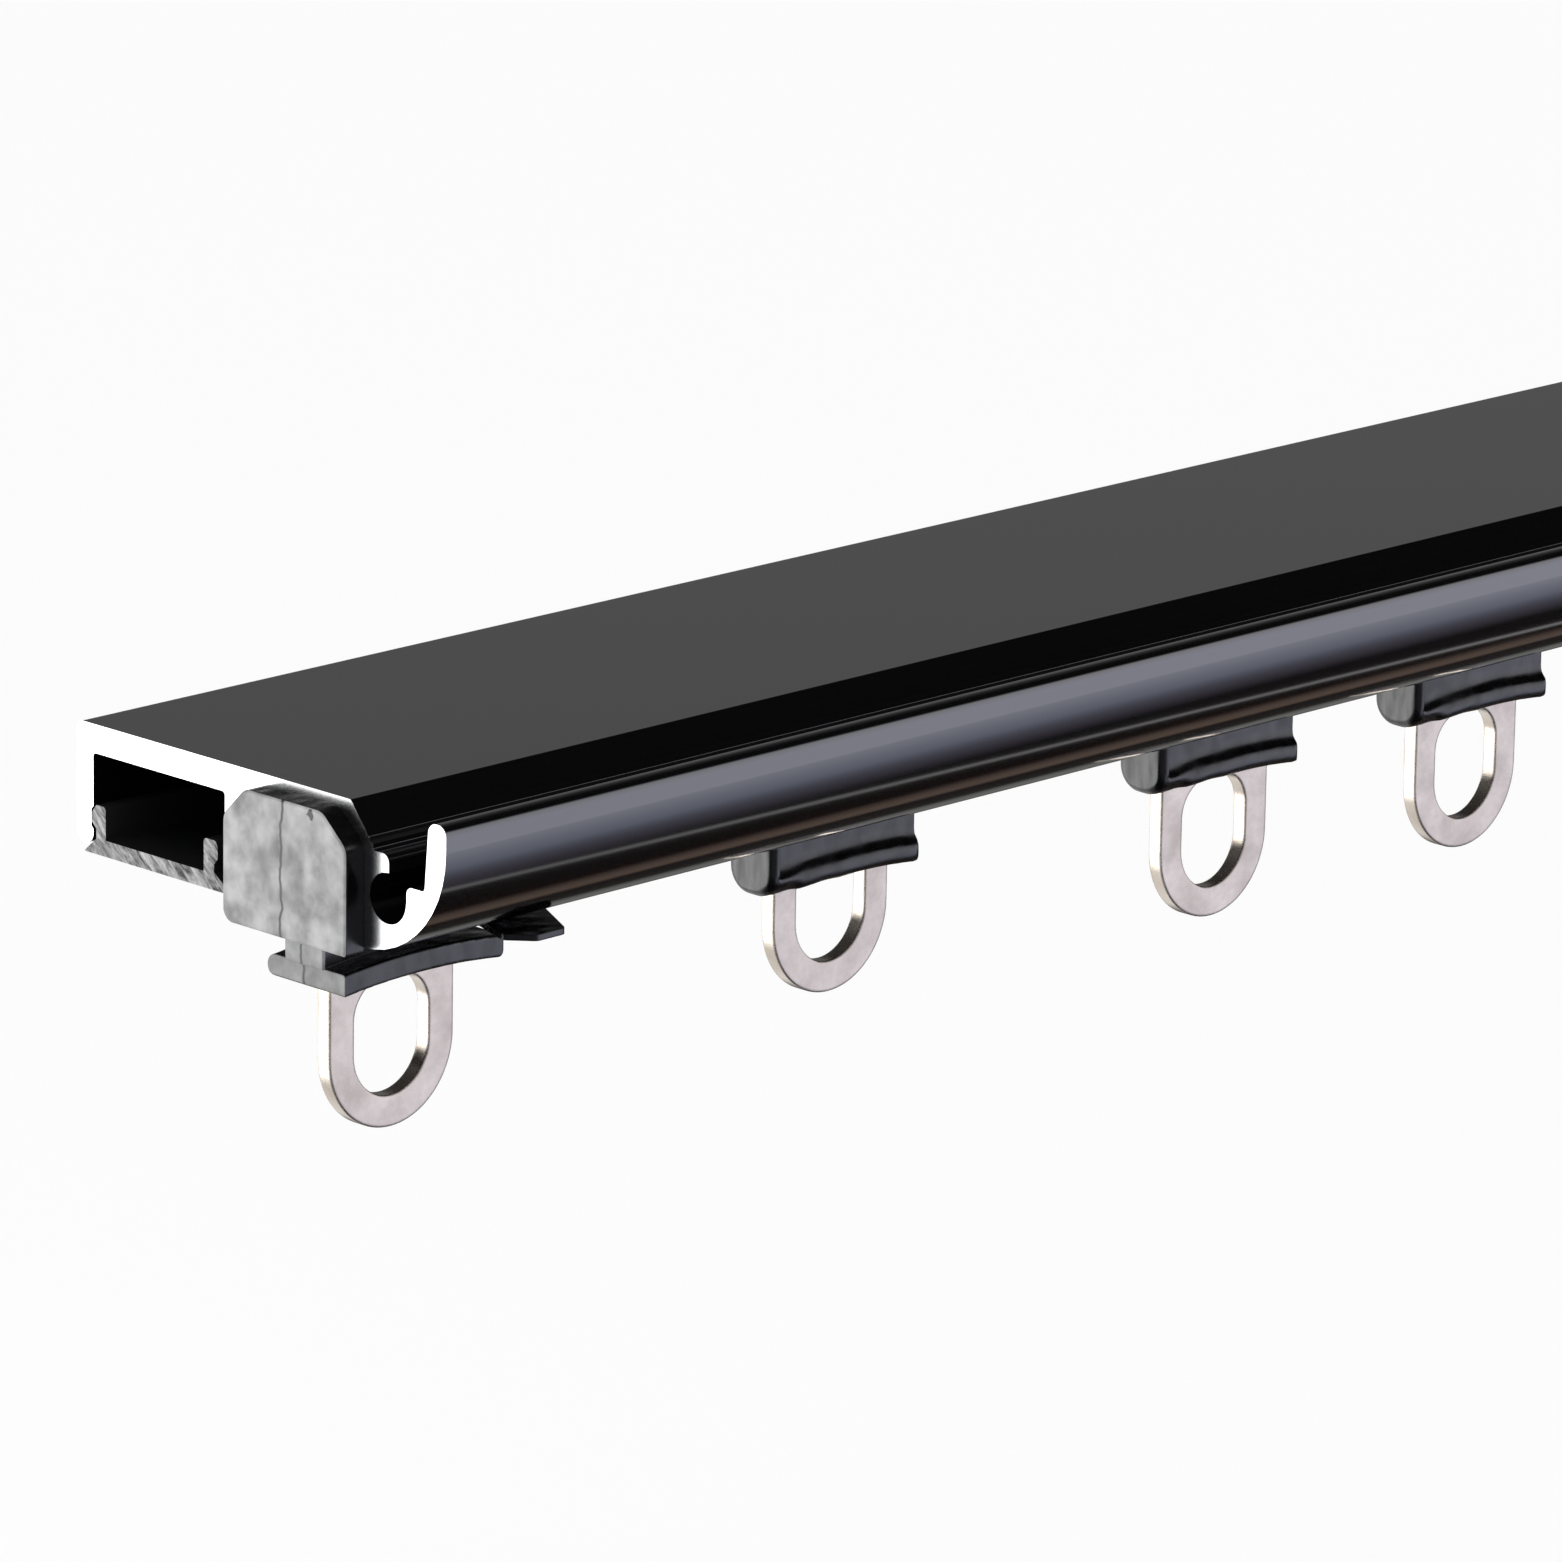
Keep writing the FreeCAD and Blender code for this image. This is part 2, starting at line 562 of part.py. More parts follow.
    body = head.fuse([neck, wall, arch, rib]).removeSplitter()
    body = body.cut(eye_pocket(-PIN_DROP, EYE_LIFT, -GLIDER_FOOT_DROP))
    return body.cut(pin_hole(-PIN_DROP))


def stop_body():
    """Moulded end stop at the left end: flange over the cut end, plug, neck, arched foot."""
    top = -FLANGE_TOP
    bottom = RAIL_BOTTOM - FLANGE_UNDER
    flange_section = [
        (-FLANGE_HALF, bottom, FLANGE_FOOT_RADIUS),
        (FLANGE_HALF, bottom, FLANGE_CORNER),
        (FLANGE_HALF, top - FLANGE_CHAMFER, FLANGE_CHAMFER_RADIUS),
        (FLANGE_HALF - FLANGE_CHAMFER, top, FLANGE_CHAMFER_RADIUS),
        (-FLANGE_HALF + FLANGE_CHAMFER + FLANGE_SLANT, top, FLANGE_CHAMFER_RADIUS),
        (-FLANGE_HALF, top - FLANGE_CHAMFER, FLANGE_CHAMFER_RADIUS),
    ]
    start = LEFT_END - FLANGE_THICKNESS
    flange = rounded_face(flange_section, across(start)).extrude(Vector(FLANGE_THICKNESS, 0, 0))
    flange = flange.makeFillet(FLANGE_SOFT_EDGE, edges_at(flange, start))

    plug_half = CHANNEL_HALF - PLUG_GAP
    plug_top = CEILING - PLUG_GAP
    plug_end = LEFT_END + PLUG_LENGTH
    plug_section = [
        (-plug_half, SKID_BOTTOM, PLUG_RADIUS),
        (plug_half, SKID_BOTTOM, PLUG_RADIUS),
        (plug_half, plug_top, PLUG_RADIUS),
        (-plug_half + CHANNEL_CHAMFER, plug_top, PLUG_RADIUS),
        (-plug_half, plug_top - CHANNEL_CHAMFER * CHAMFER_DROP / CHAMFER_DEPTH, PLUG_RADIUS),
    ]
    plug = rounded_face(plug_section, across(LEFT_END)).extrude(Vector(PLUG_LENGTH, 0, 0))
    recess = moved(box(
        -PLUG_RECESS_HALF, PLUG_RECESS_HALF,
        -CHANNEL_HALF, -HEAD_HALF,
        SKID_BOTTOM + PLUG_RECESS_FLOOR, plug_top + CUTTER_MARGIN,
    ), x=STOP_MIDDLE)
    plug = plug.cut(recess)
    plug = plug.cut(recess.mirror(Vector(0, 0, 0), Vector(0, 1, 0)))

    foot_top = -STOP_FOOT_DROP + STOP_LEDGE_THICKNESS
    neck_start = LEFT_END + STOP_NECK_START
    neck = box(neck_start, plug_end, -NECK_HALF, NECK_HALF, foot_top, SKID_BOTTOM + OVERLAP)

    foot_cap = round_end(STOP_LEDGE_THICKNESS)
    foot_section = [
        (-STOP_FOOT_HALF, 0, STOP_FOOT_EDGE),
        (-STOP_FOOT_HALF, STOP_LEDGE_THICKNESS, STOP_FOOT_EDGE),
        (STOP_FOOT_HALF, STOP_LEDGE_THICKNESS, foot_cap),
        (STOP_FOOT_HALF, 0, foot_cap),
    ]
    foot = arched_ledge(foot_section, STOP_FOOT_LENGTH, STOP_FOOT_DROP, STOP_ARCH_RISE)
    foot = moved(foot, x=STOP_MIDDLE)

    tail_end = LOCK_X + LOCK_TAIL_MARGIN
    tail_bottom = -LOCK_TAIL_TOP - LOCK_TAIL_THICKNESS
    tail_plan = [
        (plug_end - OVERLAP, -LOCK_TAIL_HALF),
        (tail_end, -LOCK_TAIL_HALF, LOCK_TAIL_RADIUS),
        (tail_end, LOCK_TAIL_HALF, LOCK_TAIL_RADIUS),
        (plug_end - OVERLAP, LOCK_TAIL_HALF),
    ]
    tail = rounded_face(tail_plan, level(tail_bottom)).extrude(Vector(0, 0, LOCK_TAIL_THICKNESS))

    body = flange.fuse([plug, neck, foot, tail]).removeSplitter()
    bearing = cylinder(
        LOCK_SHAFT_RADIUS + LOCK_SHAFT_CLEARANCE,
        (LOCK_X, 0, tail_bottom - CUTTER_MARGIN),
        (LOCK_X, 0, -LOCK_TAIL_TOP + CUTTER_MARGIN),
    )
    body = body.cut(bearing)
    body = body.cut(moved(eye_pocket(STOP_PIN_Z, 0.0, -STOP_FOOT_DROP), x=STOP_MIDDLE))
    return body.cut(moved(pin_hole(STOP_PIN_Z), x=STOP_MIDDLE))


def lock_lever():
    """Twist lock: a cam over the slot's lips, turned by a flat lever under the rail."""
    x = LOCK_X
    lever_plan = [
        (x - LEVER_ROOT, -STOP_FOOT_HALF, LEVER_CORNER * 2),
        (x - LEVER_ELBOW, -LEVER_ELBOW_REACH, LEVER_CORNER),
        (x - LEVER_TIP_FAR, -LEVER_REACH, LEVER_CORNER),
        (x - LEVER_TIP_NEAR, -LEVER_REACH, LEVER_CORNER),
        (x + LEVER_BACK, -LEVER_TAIL_REACH, LEVER_CORNER),
        (x + LEVER_TAIL_HALF, LEVER_TAIL_REACH, LEVER_CORNER * 2),
        (x - LEVER_TAIL_HALF, LEVER_TAIL_REACH, LEVER_CORNER * 2),
    ]
    lever = rounded_face(lever_plan, level(LEVER_TOP - LEVER_THICKNESS))
    lever = lever.extrude(Vector(0, 0, LEVER_THICKNESS))
    hub = cylinder(NECK_HALF, (x, 0, LEVER_TOP - LEVER_THICKNESS), (x, 0, SKID_BOTTOM + OVERLAP))
    cam_half = LOCK_CAM_HALF_LENGTH
    cam_plan = [
        (x - NECK_HALF, -cam_half, round_end(2 * NECK_HALF)),
        (x + NECK_HALF, -cam_half, round_end(2 * NECK_HALF)),
        (x + NECK_HALF, cam_half, round_end(2 * NECK_HALF)),
        (x - NECK_HALF, cam_half, round_end(2 * NECK_HALF)),
    ]
    cam = rounded_face(cam_plan, level(SKID_BOTTOM)).extrude(Vector(0, 0, LOCK_CAM_THICKNESS))
    top = -LOCK_TAIL_TOP + WASHER_THICKNESS + LOCK_SHAFT_PROUD
    shaft = cylinder(LOCK_SHAFT_RADIUS, (x, 0, SKID_BOTTOM), (x, 0, top))
    return lever.fuse([hub, cam, shaft]).removeSplitter()


def lock_washer():
    """Push-on washer that keeps the lock's shaft in the stop's tail."""
    bottom = -LOCK_TAIL_TOP + WASHER_GAP
    top = bottom + WASHER_THICKNESS
    disc = cylinder(WASHER_RADIUS, (LOCK_X, 0, bottom), (LOCK_X, 0, top))
    past = (bottom - CUTTER_MARGIN, top + CUTTER_MARGIN)
    bore = cylinder(LOCK_SHAFT_RADIUS, (LOCK_X, 0, past[0]), (LOCK_X, 0, past[1]))
    return disc.cut(bore)


def build():
    """Every piece of the track in its place, by node name."""
    nodes = {"rail": rail(), "cover_strip": cover_strip()}

    left_stop = {
        "stop_body": stop_body(),
        "stop_eye": moved(eye_plate(STOP_PIN_Z), x=STOP_MIDDLE),
        "stop_pin": moved(pin(STOP_PIN_Z), x=STOP_MIDDLE),
        "lock_lever": lock_lever(),
        "lock_washer": lock_washer(),
    }
    for name, shape in left_stop.items():
        nodes["left_" + name] = shape
        nodes["right_" + name] = mirrored(shape)

    body = glider_body()
    eye = eye_plate(-PIN_DROP)
    glider_pin = pin(-PIN_DROP)
    for number, (share, lifted) in enumerate(zip(GLIDER_SHARES, GLIDER_EYES_LIFTED), start=1):
        x = LEFT_END + share * RAIL_LENGTH
        nodes[f"glider_{number}_body"] = moved(body, x=x)
        nodes[f"glider_{number}_eye"] = moved(eye, x=x, z=EYE_LIFT if lifted else 0.0)
        nodes[f"glider_{number}_pin"] = moved(glider_pin, x=x)
    return nodes


os.makedirs("parts", exist_ok=True)
for node, solid in build().items():
    solid.exportStep(f"parts/{node}.step")
    print(f"{node}: {len(solid.Solids)} solid, {solid.Volume:.1f} mm3, valid {solid.isValid()}")
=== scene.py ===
"""The looks of a curtain track: black coated rail, sawn ends, moulded gliders, steel eyes.

Metres, in the part's own frame: X along the rail, -Y the rounded lip, +Z up to the ceiling.
"""

import math

import bpy
from mathutils import Matrix, Vector


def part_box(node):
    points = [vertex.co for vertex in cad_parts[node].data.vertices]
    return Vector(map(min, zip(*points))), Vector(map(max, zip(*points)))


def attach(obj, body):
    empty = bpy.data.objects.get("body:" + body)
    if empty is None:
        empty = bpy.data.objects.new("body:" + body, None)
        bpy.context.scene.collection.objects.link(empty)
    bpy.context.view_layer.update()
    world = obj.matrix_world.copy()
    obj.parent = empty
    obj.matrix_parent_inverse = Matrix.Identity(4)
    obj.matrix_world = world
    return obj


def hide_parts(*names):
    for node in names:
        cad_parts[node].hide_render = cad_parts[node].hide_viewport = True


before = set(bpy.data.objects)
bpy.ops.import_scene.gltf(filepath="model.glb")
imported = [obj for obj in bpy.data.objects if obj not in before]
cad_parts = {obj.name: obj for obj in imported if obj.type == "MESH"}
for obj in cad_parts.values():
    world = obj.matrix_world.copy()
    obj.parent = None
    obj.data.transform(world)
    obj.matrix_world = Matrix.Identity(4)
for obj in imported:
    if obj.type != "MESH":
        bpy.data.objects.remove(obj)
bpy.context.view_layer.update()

MM = 0.001
RAIL_END = 150 * MM            # the sawn faces lie at plus and minus this along X
END_DEPTH = 0.02 * MM          # the bare look starts this far inside the sawn faces
FLANGE_FACE = RAIL_END + 2.2 * MM     # just inside the outer faces of the stops' flanges
NECK_FACE = RAIL_END - 0.54 * MM      # just inside the ends of the stops' necks and feet
NECK_TOP = -14.05 * MM         # the necks' ends show below this
TOE_SHADE = (-16.0 * MM, -17.2 * MM)  # the feet's ends darken between these heights
GATE = (0, 0.5 * MM, -7.9 * MM)       # middle of the mark that the mould's gate left
GATE_RADIUS = 2.4 * MM
NICK = (0, -3.6 * MM, -1.6 * MM)      # in the flange's top edge
NICK_RAGGED = (1.4 * MM, -0.3 * MM)   # its radius is the skin's noise times the first, plus the second
SEAM_SWAY = (1.1 * MM, -0.3 * MM)     # the seam lies at a slow noise times the first, plus the second


# Camera

SENSOR = 36.0                  # millimetres
FOCAL = 225.27                 # a long lens: about nine degrees across the frame
AZIMUTH, ELEVATION, ROLL = math.radians(-45.31), math.radians(15.383), math.radians(0.929)
EYE_POINT = Vector((-0.72534, -0.62999, 0.23556))


def place_camera():
    """The photograph's viewpoint, worked out from the rail's straight edges."""
    bpy.ops.object.camera_add(location=EYE_POINT)
    camera = bpy.context.object
    camera.name = "camera"
    camera.data.lens = FOCAL
    camera.data.sensor_width = SENSOR
    back = Vector((
        math.sin(AZIMUTH) * math.cos(ELEVATION),
        -math.cos(AZIMUTH) * math.cos(ELEVATION),
        math.sin(ELEVATION),
    ))
    level_right = Vector((math.cos(AZIMUTH), math.sin(AZIMUTH), 0))
    level_up = back.cross(level_right)
    right = level_right * math.cos(ROLL) + level_up * math.sin(ROLL)
    up = level_up * math.cos(ROLL) - level_right * math.sin(ROLL)
    turned = Matrix((right, up, back)).transposed()
    camera.rotation_euler = turned.to_euler()
    camera.data.clip_start = 0.05
    camera.data.clip_end = 60
    bpy.context.scene.camera = camera


# Nodes and colours


def colour(code):
    """An sRGB hex code as linear red, green, blue and alpha."""
    def linear(value):
        return value / 12.92 if value <= 0.04045 else ((value + 0.055) / 1.055) ** 2.4
    return [linear(int(code[i:i + 2], 16) / 255) for i in (1, 3, 5)] + [1.0]


def add(tree, kind, inputs=None, **settings):
    """Adds one node. inputs gives each socket a number, a colour or another node's output."""
    made = tree.nodes.new(kind)
    for name, value in settings.items():
        setattr(made, name, value)
    for socket, value in (inputs or {}).items():
        if isinstance(value, bpy.types.NodeSocket):
            tree.links.new(value, made.inputs[socket])
        else:
            made.inputs[socket].default_value = value
    return made


def new_material(name):
    """An empty material: its node tree, its output node and the place on the object."""
    material = bpy.data.materials.new(name)
    material.use_nodes = True
    tree = material.node_tree
    tree.nodes.clear()
    output = tree.nodes.new("ShaderNodeOutputMaterial")
    place = tree.nodes.new("ShaderNodeTexCoord").outputs["Object"]
    return material, tree, output, place


def mm(*sizes):
    """Millimetres as metres."""
    return [size * MM for size in sizes]


def end_mask(tree, place):
    """One on the two sawn ends of the rail and the strip, zero elsewhere."""
    along = add(tree, "ShaderNodeSeparateXYZ", {0: place}).outputs["X"]
    away = add(tree, "ShaderNodeMath", {0: along}, operation="ABSOLUTE").outputs[0]
    return add(
        tree, "ShaderNodeMath", {0: away, 1: RAIL_END - END_DEPTH}, operation="GREATER_THAN",
    ).outputs[0]


def coated_aluminium():
    """Extruded aluminium under a smooth black coat, which mirrors softly along the die's faint lines.

    The saw left the two ends bare: bright, and smooth enough to show what stands close to them.
    The coat's real grain is finer, and is drawn as coarse as it needs to show.
    """
    material, tree, output, place = new_material("black_coated_aluminium")
    along_die = add(
        tree, "ShaderNodeMapping", {"Vector": place, "Scale": mm(400, 0.35, 0.35)}, vector_type="TEXTURE",
    )
    die_lines = add(
        tree, "ShaderNodeTexNoise", {"Vector": along_die.outputs[0], "Scale": 1.0, "Detail": 3.0},
    )
    coat_roughness = add(
        tree, "ShaderNodeMapRange",
        {"Value": die_lines.outputs[0], "From Min": 0.3, "From Max": 0.7, "To Min": 0.11, "To Max": 0.16},
    ).outputs[0]
    in_grain = add(
        tree, "ShaderNodeMapping", {"Vector": place, "Scale": mm(0.5, 0.3, 0.3)}, vector_type="TEXTURE",
    )
    grain = add(tree, "ShaderNodeTexNoise", {"Vector": in_grain.outputs[0], "Scale": 1.0, "Detail": 4.0})
    coat_relief = add(
        tree, "ShaderNodeBump", {"Strength": 0.05, "Distance": 0.02 * MM, "Height": grain.outputs[0]},
    ).outputs[0]
    coat = add(tree, "ShaderNodeBsdfPrincipled", {
        "Base Color": colour("#060607"), "Roughness": coat_roughness, "IOR": 1.5, "Normal": coat_relief,
        "Coat Weight": 1.0, "Coat Roughness": 0.06, "Coat IOR": 1.8,
    })
    across_saw = add(tree, "ShaderNodeMapping", {
        "Vector": place, "Rotation": (math.radians(60), 0, 0), "Scale": mm(1, 6, 0.2),
    }, vector_type="TEXTURE")
    saw_marks = add(
        tree, "ShaderNodeTexNoise", {"Vector": across_saw.outputs[0], "Scale": 1.0, "Detail": 4.0},
    ).outputs[0]
    metal_tone = add(
        tree, "ShaderNodeMix",
        {0: saw_marks, 6: colour("#d9dadc"), 7: colour("#eeeeee")}, data_type="RGBA",
    ).outputs[2]
    saw_relief = add(
        tree, "ShaderNodeBump", {"Strength": 0.12, "Distance": 0.02 * MM, "Height": saw_marks},
    ).outputs[0]
    bare = add(tree, "ShaderNodeBsdfPrincipled", {
        "Base Color": metal_tone, "Metallic": 1.0, "Roughness": 0.24, "Normal": saw_relief,
    })
    mixed = add(
        tree, "ShaderNodeMixShader", {0: end_mask(tree, place), 1: coat.outputs[0], 2: bare.outputs[0]},
    )
    tree.links.new(mixed.outputs[0], output.inputs[0])
    return material


def sawn_plastic():
    """Extruded rigid plastic, dark and dull along its length; the saw tore its ends pale and ragged."""
    material, tree, output, place = new_material("sawn_plastic")
    ends = end_mask(tree, place)
    across_tears = add(tree, "ShaderNodeMapping", {
        "Vector": place, "Rotation": (math.radians(42), 0, 0), "Scale": mm(1, 3.2, 0.75),
    }, vector_type="TEXTURE")
    tears = add(
        tree, "ShaderNodeTexNoise",
        {
            "Vector": across_tears.outputs[0], "Scale": 1.0,
            "Detail": 7.0, "Roughness": 0.72, "Distortion": 0.6,
        },
    ).outputs[0]
    torn = add(tree, "ShaderNodeMapRange", {"Value": tears, "From Min": 0.38, "From Max": 0.62}).outputs[0]
    sawn = add(
        tree, "ShaderNodeMix",
        {0: torn, 6: colour("#2b2b2b"), 7: colour("#c8c8c8")}, data_type="RGBA",
    ).outputs[2]
    tone = add(tree, "ShaderNodeMix", {0: ends, 6: colour("#1b1b1c"), 7: sawn}, data_type="RGBA").outputs[2]
    relief = add(
        tree, "ShaderNodeBump", {"Strength": ends, "Distance": 0.25 * MM, "Height": tears},
    ).outputs[0]
    shader = add(tree, "ShaderNodeBsdfPrincipled", {
        "Base Color": tone, "Roughness": 0.5, "IOR": 1.5, "Normal": relief,
    })
    tree.links.new(shader.outputs[0], output.inputs[0])
    return material


def moulded_nylon():
    """Black glass-filled nylon, injection moulded: glossy in upright streaks, edges a little soft.

    The stop's outer faces look towards the lamp beyond the near end, and are painted pale and mottled as
    painted light.
    On them the mould's seam down the middle, the round mark of its gate and a small nick in the flange's
    top edge show too.
    """
    material, tree, output, place = new_material("black_nylon")
    way = add(tree, "ShaderNodeSeparateXYZ", {0: place})
    in_skin = add(
        tree, "ShaderNodeMapping", {"Vector": place, "Scale": mm(0.5, 0.5, 0.5)}, vector_type="TEXTURE",
    )
    skin = add(
        tree, "ShaderNodeTexNoise",
        {"Vector": in_skin.outputs[0], "Scale": 1.0, "Detail": 5.0, "Roughness": 0.65},
    ).outputs[0]
    in_clouds = add(
        tree, "ShaderNodeMapping", {"Vector": place, "Scale": mm(2.6, 2.6, 2.6)}, vector_type="TEXTURE",
    )
    clouds = add(
        tree, "ShaderNodeTexNoise", {"Vector": in_clouds.outputs[0], "Scale": 1.0, "Detail": 5.0},
    ).outputs[0]
    in_streaks = add(
        tree, "ShaderNodeMapping", {"Vector": place, "Scale": mm(1.6, 0.9, 3.2)}, vector_type="TEXTURE",
    )
    streaks = add(
        tree, "ShaderNodeTexNoise", {"Vector": in_streaks.outputs[0], "Scale": 1.0, "Detail": 3.0},
    ).outputs[0]

    # Painted light: the faces towards the lamp beyond the near end are painted pale. These are the flange's
    # outer face and the ends of its neck and foot
    away = add(tree, "ShaderNodeMath", {0: way.outputs["X"]}, operation="ABSOLUTE").outputs[0]
    outer = add(
        tree, "ShaderNodeMath", {0: away, 1: FLANGE_FACE}, operation="GREATER_THAN",
    ).outputs[0]
    near_end = add(
        tree, "ShaderNodeMath", {0: away, 1: NECK_FACE}, operation="GREATER_THAN",
    ).outputs[0]
    low = add(
        tree, "ShaderNodeMath", {0: way.outputs["Z"], 1: NECK_TOP}, operation="LESS_THAN",
    ).outputs[0]
    low_end = add(tree, "ShaderNodeMath", {0: near_end, 1: low}, operation="MULTIPLY").outputs[0]
    painted_light_faces = add(tree, "ShaderNodeMath", {0: outer, 1: low_end}, operation="MAXIMUM").outputs[0]

    # The seam wanders a little, the gate's mark is a darker ring, and the nick is a ragged dot
    in_wander = add(
        tree, "ShaderNodeMapping", {"Vector": place, "Scale": mm(90, 90, 2.4)}, vector_type="TEXTURE",
    )
    wander = add(tree, "ShaderNodeTexNoise", {"Vector": in_wander.outputs[0], "Scale": 1.0}).outputs[0]
    seam_place = add(
        tree, "ShaderNodeMath", {0: wander, 1: SEAM_SWAY[0], 2: SEAM_SWAY[1]}, operation="MULTIPLY_ADD",
    ).outputs[0]
    from_seam = add(
        tree, "ShaderNodeMath", {0: way.outputs["Y"], 1: seam_place}, operation="SUBTRACT",
    ).outputs[0]
    seam_reach = add(tree, "ShaderNodeMath", {0: from_seam}, operation="ABSOLUTE").outputs[0]
    seam = add(
        tree, "ShaderNodeMapRange",
        {"Value": seam_reach, "From Min": 0.07 * MM, "From Max": 0.24 * MM, "To Min": 0.95, "To Max": 0.0},
    ).outputs[0]
    flat_place = add(
        tree, "ShaderNodeCombineXYZ", {"Y": way.outputs["Y"], "Z": way.outputs["Z"]},
    ).outputs[0]
    gate_reach = add(
        tree, "ShaderNodeVectorMath", {0: flat_place, 1: GATE}, operation="DISTANCE",
    ).outputs["Value"]
    off_ring = add(tree, "ShaderNodeMath", {0: gate_reach, 1: GATE_RADIUS}, operation="SUBTRACT").outputs[0]
    ring_reach = add(tree, "ShaderNodeMath", {0: off_ring}, operation="ABSOLUTE").outputs[0]
    ring = add(
        tree, "ShaderNodeMapRange",
        {"Value": ring_reach, "From Min": 0.2 * MM, "From Max": 1.6 * MM, "To Min": 0.62, "To Max": 0.0},
        interpolation_type="SMOOTHSTEP",
    ).outputs[0]
    nick_reach = add(
        tree, "ShaderNodeVectorMath", {0: flat_place, 1: NICK}, operation="DISTANCE",
    ).outputs["Value"]
    nick_edge = add(
        tree, "ShaderNodeMath", {0: skin, 1: NICK_RAGGED[0], 2: NICK_RAGGED[1]}, operation="MULTIPLY_ADD",
    ).outputs[0]
    nick = add(tree, "ShaderNodeMath", {0: nick_reach, 1: nick_edge}, operation="LESS_THAN").outputs[0]
    marks = add(tree, "ShaderNodeMath", {0: seam, 1: nick}, operation="MAXIMUM").outputs[0]
    # The seam and the nick show only on the faces painted pale as painted light
    marks_on_lit_faces = add(tree, "ShaderNodeMath", {0: marks, 1: painted_light_faces}, operation="MULTIPLY").outputs[0]

    # The painted light's pale tone, mottled, with painted shade low on the foot's end. It is darker in the
    # gate's ring
    mottle = add(
        tree, "ShaderNodeMapRange", {"Value": clouds, "From Min": 0.3, "From Max": 0.66},
    ).outputs[0]
    pale = add(
        tree, "ShaderNodeMix",
        {0: mottle, 6: colour("#6c6c6d"), 7: colour("#b2b2b2")}, data_type="RGBA",
    ).outputs[2]
    # Painted shade: the pale end faces are painted darker towards the bottom of the foot, between the
    # TOE_SHADE heights
    toe_painted_shade = add(tree, "ShaderNodeMapRange", {
        "Value": way.outputs["Z"], "From Min": TOE_SHADE[0], "From Max": TOE_SHADE[1], "To Max": 0.36,
    }).outputs[0]
    pale_with_toe_shade = add(
        tree, "ShaderNodeMix", {0: toe_painted_shade, 6: pale, 7: colour("#2c2c2d")}, data_type="RGBA",
    ).outputs[2]
    patchy_ring = add(tree, "ShaderNodeMath", {0: ring, 1: streaks}, operation="MULTIPLY").outputs[0]
    ringed = add(
        tree, "ShaderNodeMix", {0: patchy_ring, 6: pale_with_toe_shade, 7: colour("#1a1a1b")}, data_type="RGBA",
    ).outputs[2]
    # Painted light: pale on the faces towards the near end's lamp, plain black nylon elsewhere
    painted_light_tone = add(
        tree, "ShaderNodeMix", {0: painted_light_faces, 6: colour("#09090a"), 7: ringed}, data_type="RGBA",
    ).outputs[2]
    tone = add(
        tree, "ShaderNodeMix", {0: marks_on_lit_faces, 6: painted_light_tone, 7: colour("#131314")}, data_type="RGBA",
    ).outputs[2]
    moulded_gloss = add(
        tree, "ShaderNodeMapRange",
        {"Value": streaks, "From Min": 0.32, "From Max": 0.68, "To Min": 0.16, "To Max": 0.38},
    ).outputs[0]
    gloss = add(tree, "ShaderNodeMix", {0: painted_light_faces, 2: moulded_gloss, 3: 0.42}).outputs[0]
    # Soft edges, shallow sinks where thick walls shrank as they cooled, and the skin's fine grain
    soft_edges = add(tree, "ShaderNodeBevel", {"Radius": 0.22 * MM}, samples=4).outputs[0]
    in_sinks = add(
        tree, "ShaderNodeMapping", {"Vector": place, "Scale": mm(3.4, 2.2, 4.5)}, vector_type="TEXTURE",
    )
    sinks = add(
        tree, "ShaderNodeTexNoise", {"Vector": in_sinks.outputs[0], "Scale": 1.0, "Detail": 1.0},
    ).outputs[0]
    sunk = add(
        tree, "ShaderNodeBump",
        {"Strength": 1.0, "Distance": 0.25 * MM, "Height": sinks, "Normal": soft_edges},
    ).outputs[0]
    relief = add(
        tree, "ShaderNodeBump",
        {"Strength": 0.08, "Distance": 0.04 * MM, "Height": skin, "Normal": sunk},
    ).outputs[0]
    shader = add(tree, "ShaderNodeBsdfPrincipled", {
        "Base Color": tone, "Roughness": gloss, "IOR": 1.62, "Normal": relief,
    })
    tree.links.new(shader.outputs[0], output.inputs[0])
    return material


